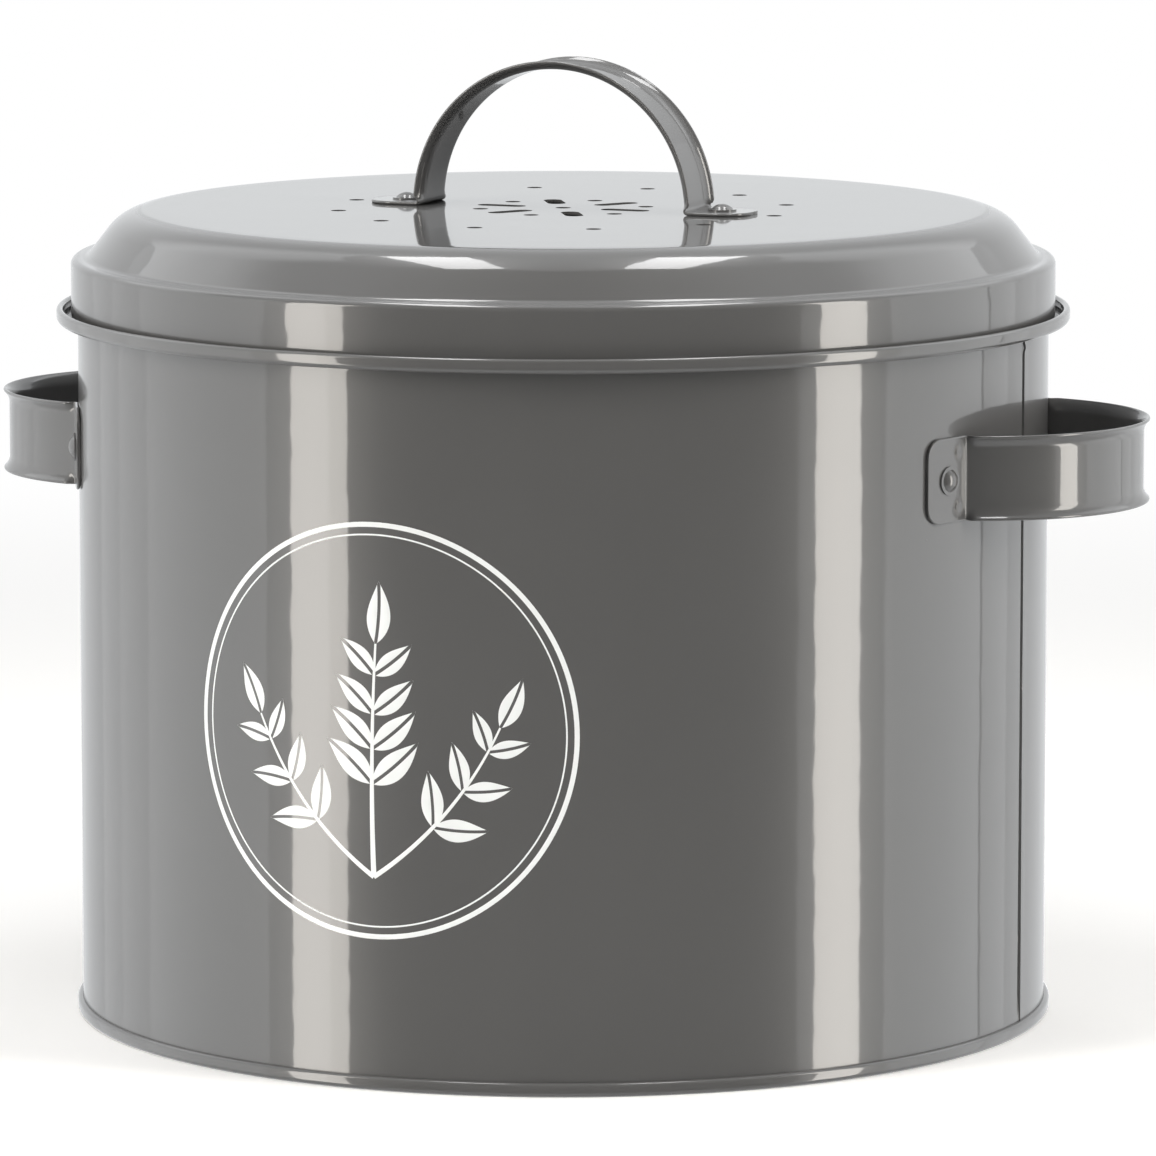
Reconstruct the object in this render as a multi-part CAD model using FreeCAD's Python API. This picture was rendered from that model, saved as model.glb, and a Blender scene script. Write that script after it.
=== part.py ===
"""Kitchen compost bin: a lidded sheet-steel canister with carrying ears and a filter under its vented lid.

Millimetres, +Z up. The origin is on the ground under the middle of the base, and +X runs along the ears.
"""

import FreeCAD
import Part
import math
import os

# General fits
overrun = 1.0  # how far a cutter runs past the face that it cuts
lap_gap = 0.1  # between sheets that are riveted or folded together
slide_gap = 0.3  # between pieces that move past each other
fine = 1e-6  # runs shorter than this are left out of an outline

# Wall
wall_radius = 120.0
wall_gauge = 0.8
seat_height = 172.8  # step inside the rim, on which the lid stands
rim_step = 5.25  # how far the rim's outer face stands out from the wall
rim_rise = 2.76  # from the seat up to the top of the rim
seat_bend = 0.5
rim_bend = 0.4
hem_gap = 0.15  # between the two layers of the rim
hem_foot = 0.9  # from the seat up to the edge of the rim's inner layer

# Lock seam, behind the right ear
seam_turn = -5.0  # degrees from the ears' line to the seam
groove_width = 1.6
groove_depth = 0.6
fold_width = 7.0
fold_gauge = 0.8
fold_margin = 3.0  # from the fold's upper end to the seat

# Base plate
base_gauge = 1.0
base_rise = 4.0  # from the ground to the underside of the floor
seam_height = 3.4
seam_gap = 0.3
seam_bend = 0.25
floor_bend = 1.5

# Lipped strap, which the ears and the lid's handle are bent from
strap_gauge = 0.8
lip_radius = 1.15
lip_fillet = 2.0
crease_radius = 1.2
tab_corner = 3.2

# Ears
ear_bow_radius = 40.8
ear_reach = 24.8  # from the wall out to the bow's inner face
ear_width = 20.5
ear_drop = 31.6  # from the seat down to the middle of the ears
ear_tab_length = 15.0

# Rivets
rivet_shank_radius = 1.6
rivet_head_radius = 2.7
rivet_head_rise = 1.3
rivet_flange_radius = 3.5
rivet_flange = 0.4
rivet_tail_radius = 2.7
rivet_tail = 0.9
rivet_slack = 0.1  # between shank and hole

# Lid
lid_gauge = 0.8
lid_gap = 1.9  # from the lid's skirt to the rim
skirt_depth = 15.0  # from the seat up to the ledge
crown_height = 11.5  # from the ledge up to the flat top
ledge_width = 3.9  # from the skirt to the foot of the crown
crown_run = 8.9  # from the foot of the crown to the corner of the flat top
shoulder_bend = 11.4
crown_bend = 2.0
skirt_bend = 0.9
lid_turn = -5.0  # degrees from the ears' line to the lid handle's line

# Vents
vent_hole_radius = 1.9
slot_width = 4.5
slot_inner = 10.2
slot_outer = 22.8
slot_count = 6
inner_ring_radius = 20.6
outer_ring_radius = 55.8
outer_ring_count = 12

# Lid handle
handle_bow_radius = 34.6
handle_width = 17.5
handle_tab_length = 14.4
handle_tab_round_share = 0.82  # of half the strap's width

# Filter
collar_margin = 6.3  # from the outer ring of vents to the collar's outside
collar_gauge = 0.8
collar_flange = 6.0
collar_bend = 0.6
collar_gap = 1.0  # from the collar's lower edge to the cover's floor
cover_gauge = 1.2
cover_bend = 1.5
cover_gap = 0.5  # from the cover's upper edge to the collar's flange
cover_hole_radius = 2.5
cover_hole_margin = 11.9  # from the middles of the outer holes to the pad's edge
cover_hole_rings = 3
pad_thickness = 10.0
pad_gap = 0.5  # from the pad to the rivets' tails
pad_edge = 1.0

# Places that follow from the sizes
wall_inner = wall_radius - wall_gauge
rim_radius = wall_radius + rim_step
rim_inner = rim_radius - 2 * wall_gauge - hem_gap
lid_radius = rim_inner - lid_gap
ledge_height = seat_height + skirt_depth
lid_top = ledge_height + crown_height
lid_under = lid_top - lid_gauge
floor_top = base_rise + base_gauge
collar_radius = outer_ring_radius + vent_hole_radius + collar_margin
pad_radius = collar_radius - collar_gauge - slide_gap
pad_top = lid_under - rivet_tail - pad_gap
pad_bottom = pad_top - pad_thickness
tab_inner = wall_radius + lap_gap
tab_outer = tab_inner + strap_gauge
ear_height = seat_height - ear_drop
bow_centre = wall_radius + ear_reach - ear_bow_radius
handle_tab_end = handle_bow_radius + handle_tab_length
handle_rivet_place = (handle_bow_radius + strap_gauge + handle_tab_end) / 2

origin = FreeCAD.Vector(0, 0, 0)
x_axis = FreeCAD.Vector(1, 0, 0)
y_axis = FreeCAD.Vector(0, 1, 0)
z_axis = FreeCAD.Vector(0, 0, 1)
full_turn = 360


def section_point(across, along):
    """A point of a section, which is drawn in the XZ plane."""
    return FreeCAD.Vector(across, 0, along)


def left_of(direction):
    """The direction to the left of a run in the XZ plane."""
    return FreeCAD.Vector(-direction.z, 0, direction.x)


def line(start, end):
    return Part.LineSegment(start, end).toShape()


def turns(path):
    """+1 for each corner of a path that turns left, and -1 for each that turns right."""
    signs = []
    for before, corner, after in zip(path, path[1:], path[2:]):
        signs.append(math.copysign(1, left_of(corner - before).dot(after - corner)))
    return signs


def shifted(path, shift):
    """A path moved sideways, to its left where the shift is positive."""
    runs = [(b - a).normalize() for a, b in zip(path, path[1:])]
    sides = [left_of(run) for run in runs]
    moved = [path[0] + sides[0] * shift]
    for corner, one, two in zip(path[1:], sides, sides[1:]):
        moved.append(corner + (one + two) * (shift / (1 + one.dot(two))))
    moved.append(path[-1] + sides[-1] * shift)
    return moved


def rounded(path, radii):
    """Edges along a path, with each corner rounded to its radius."""
    edges = []
    start = path[0]
    for before, corner, after, radius in zip(path, path[1:], path[2:], radii):
        into = (corner - before).normalize()
        out = (after - corner).normalize()
        reach = radius * math.tan(into.getAngle(out) / 2)
        first = corner - into * reach
        last = corner + out * reach
        inward = (out - into).normalize()
        middle = corner + inward * (math.hypot(radius, reach) - radius)
        if first.distanceToPoint(start) > fine:
            edges.append(line(start, first))
        edges.append(Part.Arc(first, middle, last).toShape())
        start = last
    if start.distanceToPoint(path[-1]) > fine:
        edges.append(line(start, path[-1]))
    return edges


def face_of(edges):
    return Part.Face(Part.Wire(Part.__sortEdges__(edges)))


def sheet_section(path, bends, gauge, side, round_end=False):
    """Section of a bent sheet whose show face follows the path.

    The bends are inside radii. Side is +1 where the sheet lies to the left of the path, else -1.
    """
    towards = [turn * side > 0 for turn in turns(path)]
    show_radii = [bend + gauge if near else bend for bend, near in zip(bends, towards)]
    back_radii = [bend if near else bend + gauge for bend, near in zip(bends, towards)]
    back = shifted(path, side * gauge)
    if round_end:
        forward = (path[-1] - path[-2]).normalize()
        tip = (path[-1] + back[-1]) / 2 + forward * (gauge / 2)
        end = Part.Arc(path[-1], tip, back[-1]).toShape()
    else:
        end = line(path[-1], back[-1])
    return face_of(rounded(path, show_radii) + rounded(back, back_radii) + [end, line(path[0], back[0])])


def turned(face):
    """A solid of revolution about the upright axis."""
    return face.revolve(origin, z_axis, full_turn)


def radial_hole(radius, inner, outer, angle, height):
    """A cutter that runs outward from the upright axis."""
    direction = FreeCAD.Rotation(z_axis, angle).multVec(x_axis)
    start = direction * inner + z_axis * height
    return Part.makeCylinder(radius, outer - inner, start, direction)


def circle_crossing(centre, radius, main_radius):
    """Where a circle about a centre on X meets the main circle about the origin, on the side of +Y."""
    x = (main_radius**2 - radius**2 + centre**2) / (2 * centre)
    return FreeCAD.Vector(x, math.sqrt(main_radius**2 - x**2), 0)


def polar_angle(point):
    return math.degrees(math.atan2(point.y, point.x))


def lip_drop():
    """From the middle of a lip's round to the middle of the fillet that joins it to the strap."""
    across = strap_gauge + lip_fillet - lip_radius
    return math.sqrt((lip_radius + lip_fillet) ** 2 - across**2)


def lipped_section(inner, width):
    """Section of the strap: a flat web whose two edges are rolled outward into lips."""
    lip_middle = width / 2 - lip_radius
    fillet_middle = lip_middle - lip_drop()
    outer = inner + strap_gauge
    edges = [
        line(section_point(inner, -lip_middle), section_point(inner, lip_middle)),
        line(section_point(outer, -fillet_middle), section_point(outer, fillet_middle)),
    ]
    for side in (-1, 1):
        lip_centre = section_point(inner + lip_radius, side * lip_middle)
        fillet_centre = section_point(outer + lip_fillet, side * fillet_middle)
        towards = (fillet_centre - lip_centre).normalize()
        meeting = lip_centre + towards * lip_radius
        crest = lip_centre + (left_of(towards) * side - towards).normalize() * lip_radius
        back = (section_point(outer, side * fillet_middle) - fillet_centre).normalize()
        hollow = fillet_centre + (back - towards).normalize() * lip_fillet
        edges.append(Part.Arc(section_point(inner, side * lip_middle), crest, meeting).toShape())
        edges.append(Part.Arc(meeting, hollow, section_point(outer, side * fillet_middle)).toShape())
    return face_of(edges)


def web_width(width):
    """Width of the strap's flat web, between the fillets of its lips."""
    return width - 2 * (lip_radius + lip_drop())


def rivet(grip):
    """A rivet along Z: a flanged dome above the origin, the shank, and the tail below the grip."""
    dome_foot = section_point(rivet_head_radius, rivet_flange)
    dome_top = section_point(0, rivet_flange + rivet_head_rise)
    sphere = (rivet_head_radius**2 + rivet_head_rise**2) / (2 * rivet_head_rise)
    half_span = math.asin(rivet_head_radius / sphere) / 2
    dome_side = section_point(
        sphere * math.sin(half_span),
        dome_top.z - sphere * (1 - math.cos(half_span)),
    )
    corners = [
        dome_foot,
        section_point(rivet_flange_radius, rivet_flange),
        section_point(rivet_flange_radius, 0),
        section_point(rivet_shank_radius, 0),
        section_point(rivet_shank_radius, -grip),
        section_point(rivet_tail_radius, -grip),
        section_point(rivet_tail_radius, -grip - rivet_tail),
        section_point(0, -grip - rivet_tail),
        dome_top,
    ]
    edges = [line(a, b) for a, b in zip(corners, corners[1:])]
    edges.append(Part.Arc(dome_top, dome_side, dome_foot).toShape())
    return turned(face_of(edges))


def ear_bend_angle():
    """Angle from the ear's middle at which its inner face meets the wall."""
    return polar_angle(circle_crossing(bow_centre, ear_bow_radius, tab_inner))


def ear_tab_span():
    """Angle that an ear's tab takes up on the wall."""
    return math.degrees(ear_tab_length / tab_inner)


def ear_rivet_angle():
    return ear_bend_angle() + ear_tab_span() / 2


def body_wall():
    """Rolled wall with a step for the lid, a rim that is hemmed inward and a lock seam."""
    step_height = seat_height - wall_gauge
    rim_top = seat_height + rim_rise
    hem_bend = hem_gap / 2
    path = [
        section_point(wall_radius, base_gauge),
        section_point(wall_radius, step_height),
        section_point(rim_radius, step_height),
        section_point(rim_radius, rim_top),
        section_point(rim_inner, rim_top),
        section_point(rim_inner, seat_height + hem_foot),
    ]
    wall = turned(sheet_section(path, [seat_bend, rim_bend, hem_bend, hem_bend], wall_gauge, 1))
    wall = wall.fuse(seam_fold())
    groove = Part.makeBox(
        groove_depth + overrun,
        groove_width,
        step_height - seat_bend - seam_height,
        FreeCAD.Vector(wall_radius - groove_depth, -groove_width / 2, seam_height),
    )
    groove.rotate(origin, z_axis, seam_turn)
    cutters = [groove]
    for angle in ear_rivet_angles():
        radius = rivet_shank_radius + rivet_slack
        cutters.append(radial_hole(radius, wall_inner - overrun, tab_inner + overrun, angle, ear_height))
    return wall.cut(cutters)


def seam_fold():
    """Folded layers of the lock seam, which lie on the inside of the wall."""
    start = floor_top + lap_gap
    height = seat_height - fold_margin - start
    span = math.degrees(fold_width / wall_inner)
    bottom = FreeCAD.Vector(0, 0, start)
    outer = Part.makeCylinder(wall_inner + wall_gauge / 2, height, bottom, z_axis, span)
    inner = Part.makeCylinder(wall_inner - fold_gauge, height, bottom, z_axis)
    fold = outer.cut(inner)
    fold.rotate(origin, z_axis, seam_turn - span / 2)
    return fold


def base_plate():
    """Pressed bottom with a raised floor, whose rim is folded up round the wall's lower edge."""
    leg = wall_inner - seam_gap - base_gauge
    flange = wall_radius + seam_gap + base_gauge
    path = [
        section_point(0, base_rise),
        section_point(leg, base_rise),
        section_point(leg, 0),
        section_point(flange, 0),
        section_point(flange, seam_height - base_gauge / 2),
    ]
    return turned(sheet_section(path, [floor_bend, seam_bend, seam_bend], base_gauge, 1, round_end=True))


def ear_tab(side):
    """Tab that lies on the wall at one end of an ear, with its outer corners cut."""
    corner = section_point(tab_inner, -ear_width / 2)
    outline = [
        corner,
        corner + x_axis * strap_gauge,
        corner + x_axis * strap_gauge + z_axis * ear_width,
        corner + z_axis * ear_width,
        corner,
    ]
    tab = Part.Face(Part.makePolygon(outline)).revolve(origin, z_axis, ear_tab_span())
    end = FreeCAD.Rotation(z_axis, ear_tab_span()).multVec(x_axis)
    corners = []
    for edge in tab.Edges:
        ends = [vertex.Point for vertex in edge.Vertexes]
        level = len(ends) == 2 and abs(ends[0].z - ends[1].z) < fine
        if level and all(point.cross(end).dot(z_axis) ** 2 < fine for point in ends):
            corners.append(edge)
    tab = tab.makeChamfer(tab_corner, corners)
    tab.rotate(origin, z_axis, ear_bend_angle())
    return tab if side > 0 else tab.mirror(origin, y_axis)


def ear_crease(side):
    """Metal in the round of the bend between an ear's bow and its tab."""
    web = ear_bow_radius + strap_gauge
    centre = circle_crossing(bow_centre, web + crease_radius, tab_outer + crease_radius)
    hub = x_axis * bow_centre
    on_bow = hub + (centre - hub).normalize() * web
    on_tab = FreeCAD.Vector(centre).normalize() * tab_outer
    hollow = centre + ((on_bow + on_tab) / 2 - centre).normalize() * crease_radius
    inside = circle_crossing(bow_centre, web - strap_gauge / 2, tab_outer - strap_gauge / 2)
    edges = [Part.Arc(on_bow, hollow, on_tab).toShape(), line(on_tab, inside), line(inside, on_bow)]
    height = web_width(ear_width)
    crease = face_of(edges).extrude(z_axis * height)
    crease.translate(z_axis * (-height / 2))
    return crease if side > 0 else crease.mirror(origin, y_axis)


def ear():
    """Carrying ear on +X: a lipped bow with a tab at each end."""
    bow = turned(lipped_section(ear_bow_radius, ear_width))
    bow.translate(x_axis * bow_centre)
    height = ear_width + 2 * overrun
    inside = Part.makeCylinder(tab_inner, height, z_axis * (-height / 2), z_axis)
    bow = bow.cut(inside)
    ends = [make(side) for side in (-1, 1) for make in (ear_tab, ear_crease)]
    shape = bow.fuse(ends).removeSplitter()
    holes = []
    for side in (-1, 1):
        angle = side * ear_rivet_angle()
        radius = rivet_shank_radius + rivet_slack
        holes.append(radial_hole(radius, tab_inner - overrun, tab_outer + overrun, angle, 0))
    shape = shape.cut(holes)
    shape.translate(z_axis * ear_height)
    return shape


def ear_rivet_angles():
    """Places of the four ear rivets round the wall, in degrees from +X."""
    offset = ear_rivet_angle()
    return [-offset, offset, full_turn / 2 - offset, full_turn / 2 + offset]


def ear_rivet(angle):
    shape = rivet(tab_outer - wall_inner + lap_gap)
    shape.rotate(origin, y_axis, full_turn / 4)
    shape.translate(x_axis * tab_outer + z_axis * ear_height)
    shape.rotate(origin, z_axis, angle)
    return shape


def vent_slot(angle):
    """Radial slot with round ends, as a cutter through the lid."""
    radius = slot_width / 2
    start = slot_inner + radius
    end = slot_outer - radius
    depth = lid_gauge + 2 * overrun
    bottom = lid_under - overrun
    shape = Part.makeBox(end - start, slot_width, depth, FreeCAD.Vector(start, -radius, bottom))
    for place in (start, end):
        shape = shape.fuse(Part.makeCylinder(radius, depth, FreeCAD.Vector(place, 0, bottom), z_axis))
    shape.rotate(origin, z_axis, angle)
    return shape


def lid_hole(radius, place, angle):
    """Upright cutter through the lid at a distance from its middle."""
    direction = FreeCAD.Rotation(z_axis, angle).multVec(x_axis)
    start = direction * place + z_axis * (lid_under - overrun)
    return Part.makeCylinder(radius, lid_gauge + strap_gauge + 2 * overrun, start, z_axis)


def vents():
    """Cutters for the vents: a middle hole, slots with holes between them, and an outer ring of holes."""
    step = full_turn / slot_count
    cutters = [lid_hole(vent_hole_radius, 0, 0)]
    for index in range(slot_count):
        cutters.append(vent_slot(index * step))
        cutters.append(lid_hole(vent_hole_radius, inner_ring_radius, (index + 0.5) * step))
    for index in range(outer_ring_count):
        cutters.append(lid_hole(vent_hole_radius, outer_ring_radius, index * full_turn / outer_ring_count))
    return cutters


def lid_rivet_holes():
    radius = rivet_shank_radius + rivet_slack
    return [lid_hole(radius, handle_rivet_place, angle) for angle in (0, full_turn / 2)]


def lid_shell():
    """Pressed lid: a flat vented top, a round shoulder, a ledge and a skirt that stands on the seat."""
    crown_foot = lid_radius - ledge_width
    path = [
        section_point(0, lid_top),
        section_point(crown_foot - crown_run, lid_top),
        section_point(crown_foot, ledge_height),
        section_point(lid_radius, ledge_height),
        section_point(lid_radius, seat_height),
    ]
    shell = turned(sheet_section(path, [shoulder_bend, crown_bend, skirt_bend], lid_gauge, -1))
    shell = shell.cut(vents() + lid_rivet_holes())
    shell.rotate(origin, z_axis, lid_turn)
    return shell


def handle_tab(side):
    """Tab of the lid's handle, with a rounded end and a rounded crease at the bow's foot."""
    half = handle_width / 2
    tab = Part.makeBox(
        handle_tab_length,
        handle_width,
        strap_gauge,
        FreeCAD.Vector(handle_bow_radius, -half, lid_top),
    )
    ends = []
    for edge in tab.Edges:
        points = [vertex.Point for vertex in edge.Vertexes]
        upright = edge.tangentAt(0).cross(z_axis).Length < fine
        if upright and all(abs(point.x - handle_tab_end) < fine for point in points):
            ends.append(edge)
    tab = tab.makeFillet(half * handle_tab_round_share, ends)
    metal = strap_gauge / 2
    outline = [
        section_point(0, crease_radius),
        section_point(-metal, crease_radius),
        section_point(-metal, -metal),
        section_point(crease_radius, -metal),
        section_point(crease_radius, 0),
    ]
    edges = [line(a, b) for a, b in zip(outline, outline[1:])]
    hollow = section_point(crease_radius, crease_radius) * (1 - math.sqrt(0.5))
    edges.append(Part.Arc(outline[-1], hollow, outline[0]).toShape())
    flat = web_width(handle_width)
    crease = face_of(edges).extrude(y_axis * flat)
    crease.translate(FreeCAD.Vector(handle_bow_radius + strap_gauge, -flat / 2, lid_top + strap_gauge))
    shape = tab.fuse(crease)
    return shape if side > 0 else shape.mirror(origin, x_axis)


def lid_handle():
    """Arched strap that stands on the lid, with a tab at each foot."""
    bow = lipped_section(handle_bow_radius, handle_width).revolve(origin, z_axis, full_turn / 2)
    bow.rotate(origin, x_axis, full_turn / 4)
    bow.translate(z_axis * lid_top)
    shape = bow.fuse([handle_tab(-1), handle_tab(1)]).removeSplitter()
    shape = shape.cut(lid_rivet_holes())
    shape.rotate(origin, z_axis, lid_turn)
    return shape


def lid_rivet(side):
    shape = rivet(strap_gauge + lid_gauge)
    shape.translate(x_axis * (side * handle_rivet_place) + z_axis * (lid_top + strap_gauge))
    shape.rotate(origin, z_axis, lid_turn)
    return shape


def filter_collar():
    """Flanged ring welded to the underside of the lid."""
    flange_under = lid_under - collar_gauge
    path = [
        section_point(collar_radius + collar_flange, flange_under),
        section_point(collar_radius, flange_under),
        section_point(collar_radius, pad_bottom + collar_gap),
    ]
    return turned(sheet_section(path, [collar_bend], collar_gauge, -1))


def filter_cover():
    """Pierced cap that is pushed over the collar and carries the pad."""
    radius = collar_radius + slide_gap + cover_gauge
    bottom = pad_bottom - cover_gauge
    path = [
        section_point(0, bottom),
        section_point(radius, bottom),
        section_point(radius, lid_under - collar_gauge - cover_gap),
    ]
    cover = turned(sheet_section(path, [cover_bend], cover_gauge, 1))
    start = z_axis * (bottom - overrun)
    depth = cover_gauge + 2 * overrun
    pitch = (pad_radius - cover_hole_margin) / cover_hole_rings
    holes = [Part.makeCylinder(cover_hole_radius, depth, start, z_axis)]
    for ring in range(1, cover_hole_rings + 1):
        count = slot_count * ring
        for index in range(count):
            direction = FreeCAD.Rotation(z_axis, index * full_turn / count).multVec(x_axis)
            place = start + direction * (ring * pitch)
            holes.append(Part.makeCylinder(cover_hole_radius, depth, place, z_axis))
    return cover.cut(holes)


def filter_pad():
    """Disc of charcoal foam with softened edges."""
    pad = Part.makeCylinder(pad_radius, pad_thickness, z_axis * pad_bottom, z_axis)
    rims = [edge for edge in pad.Edges if edge.Closed and len(edge.Vertexes) == 1]
    return pad.makeFillet(pad_edge, rims)


def rotated_half_turn(shape):
    copy = shape.copy()
    copy.rotate(origin, z_axis, full_turn / 2)
    return copy


os.makedirs("parts", exist_ok=True)
right_ear = ear()
nodes = {
    "body_wall": body_wall(),
    "base_plate": base_plate(),
    "ear_right": right_ear,
    "ear_left": rotated_half_turn(right_ear),
    "lid_shell": lid_shell(),
    "lid_handle": lid_handle(),
    "filter_collar": filter_collar(),
    "filter_cover": filter_cover(),
    "filter_pad": filter_pad(),
}
for number, rivet_angle in enumerate(ear_rivet_angles(), start=1):
    nodes[f"ear_rivet_{number}"] = ear_rivet(rivet_angle)
for number, rivet_side in enumerate((-1, 1), start=1):
    nodes[f"lid_rivet_{number}"] = lid_rivet(rivet_side)
for name, solid in nodes.items():
    solid.exportStep(f"parts/{name}.step")
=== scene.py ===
"""Looks of a lacquered-steel kitchen compost bin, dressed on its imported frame.

Lengths are metres, +Z is up, and the two carrying ears lie along X.
"""

import math

import bmesh
import bpy
import numpy as np
from bpy.props import FloatProperty, FloatVectorProperty, IntProperty, PointerProperty
from bpy.types import Operator, Panel, PropertyGroup
from mathutils import Matrix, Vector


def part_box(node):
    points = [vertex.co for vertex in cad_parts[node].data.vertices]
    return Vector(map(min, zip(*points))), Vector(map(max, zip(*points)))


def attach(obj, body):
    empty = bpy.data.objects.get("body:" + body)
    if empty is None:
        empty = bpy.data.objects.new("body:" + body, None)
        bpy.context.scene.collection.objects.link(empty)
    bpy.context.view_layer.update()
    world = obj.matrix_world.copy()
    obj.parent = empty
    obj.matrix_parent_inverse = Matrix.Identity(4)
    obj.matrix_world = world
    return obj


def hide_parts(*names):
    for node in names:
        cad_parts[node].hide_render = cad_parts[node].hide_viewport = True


bl_info = {
    "name": "Compost Bin",
    "version": (1, 0, 0),
    "blender": (4, 5, 0),
    "location": "3D View > Sidebar > Compost Bin",
    "description": "Builds the finish and the fine shapes of a lacquered-steel compost bin",
    "category": "Object",
}

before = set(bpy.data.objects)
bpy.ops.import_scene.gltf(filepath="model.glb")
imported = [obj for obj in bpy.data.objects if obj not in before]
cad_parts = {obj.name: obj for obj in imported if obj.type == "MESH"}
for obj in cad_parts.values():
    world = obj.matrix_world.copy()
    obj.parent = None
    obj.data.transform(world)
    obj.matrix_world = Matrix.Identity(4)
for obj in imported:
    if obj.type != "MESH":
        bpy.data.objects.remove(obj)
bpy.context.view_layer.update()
ear_low, ear_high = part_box("ear_right")
handle_low, handle_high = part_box("lid_handle")
pad_low, pad_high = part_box("filter_pad")
wall_low, wall_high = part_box("body_wall")
base_low, base_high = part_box("base_plate")
lid_low, lid_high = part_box("lid_shell")

PHOTO_WIDTH = 1156
FULL_TURN = 2 * math.pi
# Radius of the small caps that close a turned mesh at its axis
AXIS_CAP = 0.0002
# Points nearer than this count as one
SAME_PLACE = 1e-7
# Edges that turn by more degrees than this are shown sharp
SHARP_EDGE = 35.0
SHARP_INK_EDGE = 60.0
# Longest runs between points of an outline
WALL_STEP = 0.009
BEND_STEP = 0.0008
BASE_STEP = 0.02
LID_STEP = 0.006
FOAM_STEP = 0.002


# Kinds of setting

def length(name, description, default):
    return FloatProperty(name=name, description=description, default=default, unit="LENGTH", precision=5)


def angle(name, description, degrees):
    return FloatProperty(name=name, description=description, default=math.radians(degrees), subtype="ANGLE")


def factor(name, description, default):
    return FloatProperty(name=name, description=description, default=default, min=0, max=1, subtype="FACTOR")


def level(name, description, default):
    return FloatProperty(name=name, description=description, default=default)


def colour(name, description, default):
    return FloatVectorProperty(
        name=name, description=description, default=default, size=3, min=0, max=1, subtype="COLOR"
    )


class WallSettings(PropertyGroup):
    radius: length("Radius", "Outside of the rolled wall", 0.120)
    gauge: length("Gauge", "Thickness of the sheet", 0.0008)
    seat_height: length("Seat height", "Step on which the lid stands", 0.1728)
    rim_step: length("Rim step", "From the wall out to the rim's outer face", 0.00525)
    seat_bend: length("Seat bend", "Inside radius under the step", 0.0005)
    rim_bend: length("Rim bend", "Inside radius at the foot of the rim", 0.0006)
    hem_gap: length("Hem gap", "Between the two layers of the rim", 0.00015)
    hem_foot: length("Hem foot", "From the seat to the edge of the rim's inner layer", 0.0009)
    seam_turn: angle("Seam", "From the ears' line to the lock seam", -4.2)
    groove_width: length("Groove width", "Lock seam's groove, seen from outside", 0.0018)
    groove_depth: length("Groove depth", "Lock seam's groove at its deepest", 0.00075)
    groove_floor: factor("Groove floor", "Share of the groove's half width at which its sides start", 0.82)
    groove_spread: factor("Groove spread", "Share by which the groove gets wider at the foot", 0.5)
    fold_width: length("Fold width", "Folded layers of the lock seam, inside", 0.007)
    fold_gauge: length("Fold gauge", "How far the folded layers stand in", 0.0008)
    fold_margin: length("Fold margin", "From the fold's upper end to the seat", 0.003)
    drop_radius: length("Drop radius", "Drop of lacquer in the upper end of the groove", 0.0009)
    drop_rise: length("Drop rise", "How far the drop stands out", 0.0009)
    drop_depth: length("Drop depth", "From the step down to the drop", 0.0026)


class StrapSettings(PropertyGroup):
    gauge: length("Gauge", "Thickness of the strap", 0.0008)
    curl_radius: length("Curl radius", "Round in which the strap's edges bend outward", 0.0046)
    curl: angle("Curl", "How far the edges bend outward on the bow", 49.0)
    tab_curl: angle("Tab curl", "How far the edges bend outward on the tabs", 7.0)
    curl_run: length("Curl run", "Length in which the curl dies out before a crease", 0.003)
    crease_radius: length("Crease radius", "Hollow where the bow meets a tab", 0.0010)
    dent_depth: length("Dent depth", "Crushed corners beside each crease", 0.00035)
    dent_radius: length("Dent radius", "Size of the crushed corners", 0.0010)
    dent_run: length("Dent run", "From a crease to its crushed corners", 0.0028)
    dent_share: factor("Dent share", "Place of the crushed corners across half the width", 0.64)


class EarSettings(PropertyGroup):
    bow_radius: length("Bow radius", "Inner face of the bow", 0.0408)
    right_reach: length("Right reach", "From the wall out to the right bow's inner face", 0.0258)
    left_reach: length("Left reach", "From the wall out to the left bow's inner face", 0.0233)
    width: length("Width", "Strap's width", ear_high.z - ear_low.z)
    height: length("Height", "Middle of the ears above the ground", (ear_high.z + ear_low.z) / 2)
    tab_length: length("Tab length", "Tab along the wall", 0.015)
    tab_corner: length("Tab corner", "Rounded corners of the tab", 0.0042)
    lap: length("Lap", "Between the wall and the tab", 0.0001)


class HandleSettings(PropertyGroup):
    bow_radius: length("Bow radius", "Inner face of the bow", 0.0346)
    width: length("Width", "Strap's width", 0.0175)
    tab_length: length("Tab length", "From the bow's inner face to the tab's end", 0.0158)
    tab_corner: length("Tab corner", "Rounded corners of the tab", 0.0072)
    seat: length("Seat", "Top of the lid", handle_low.z)
    turn: angle("Turn", "From the ears' line to the handle's line", -5.0)


class BaseSettings(PropertyGroup):
    gauge: length("Gauge", "Thickness of the sheet", 0.001)
    rise: length("Rise", "From the ground to the underside of the floor", 0.004)
    rim_height: length("Rim height", "Folded rim round the wall's foot", 0.0034)
    rim_round: length("Rim round", "Upper edge of the folded rim", 0.0009)
    rim_bend: length("Rim bend", "Lower edges of the folded rim", 0.00125)
    floor_bend: length("Floor bend", "Round at the edge of the raised floor", 0.0015)
    clearance: length("Clearance", "Between the wall's back and the base's upright side", 0.0003)


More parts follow.
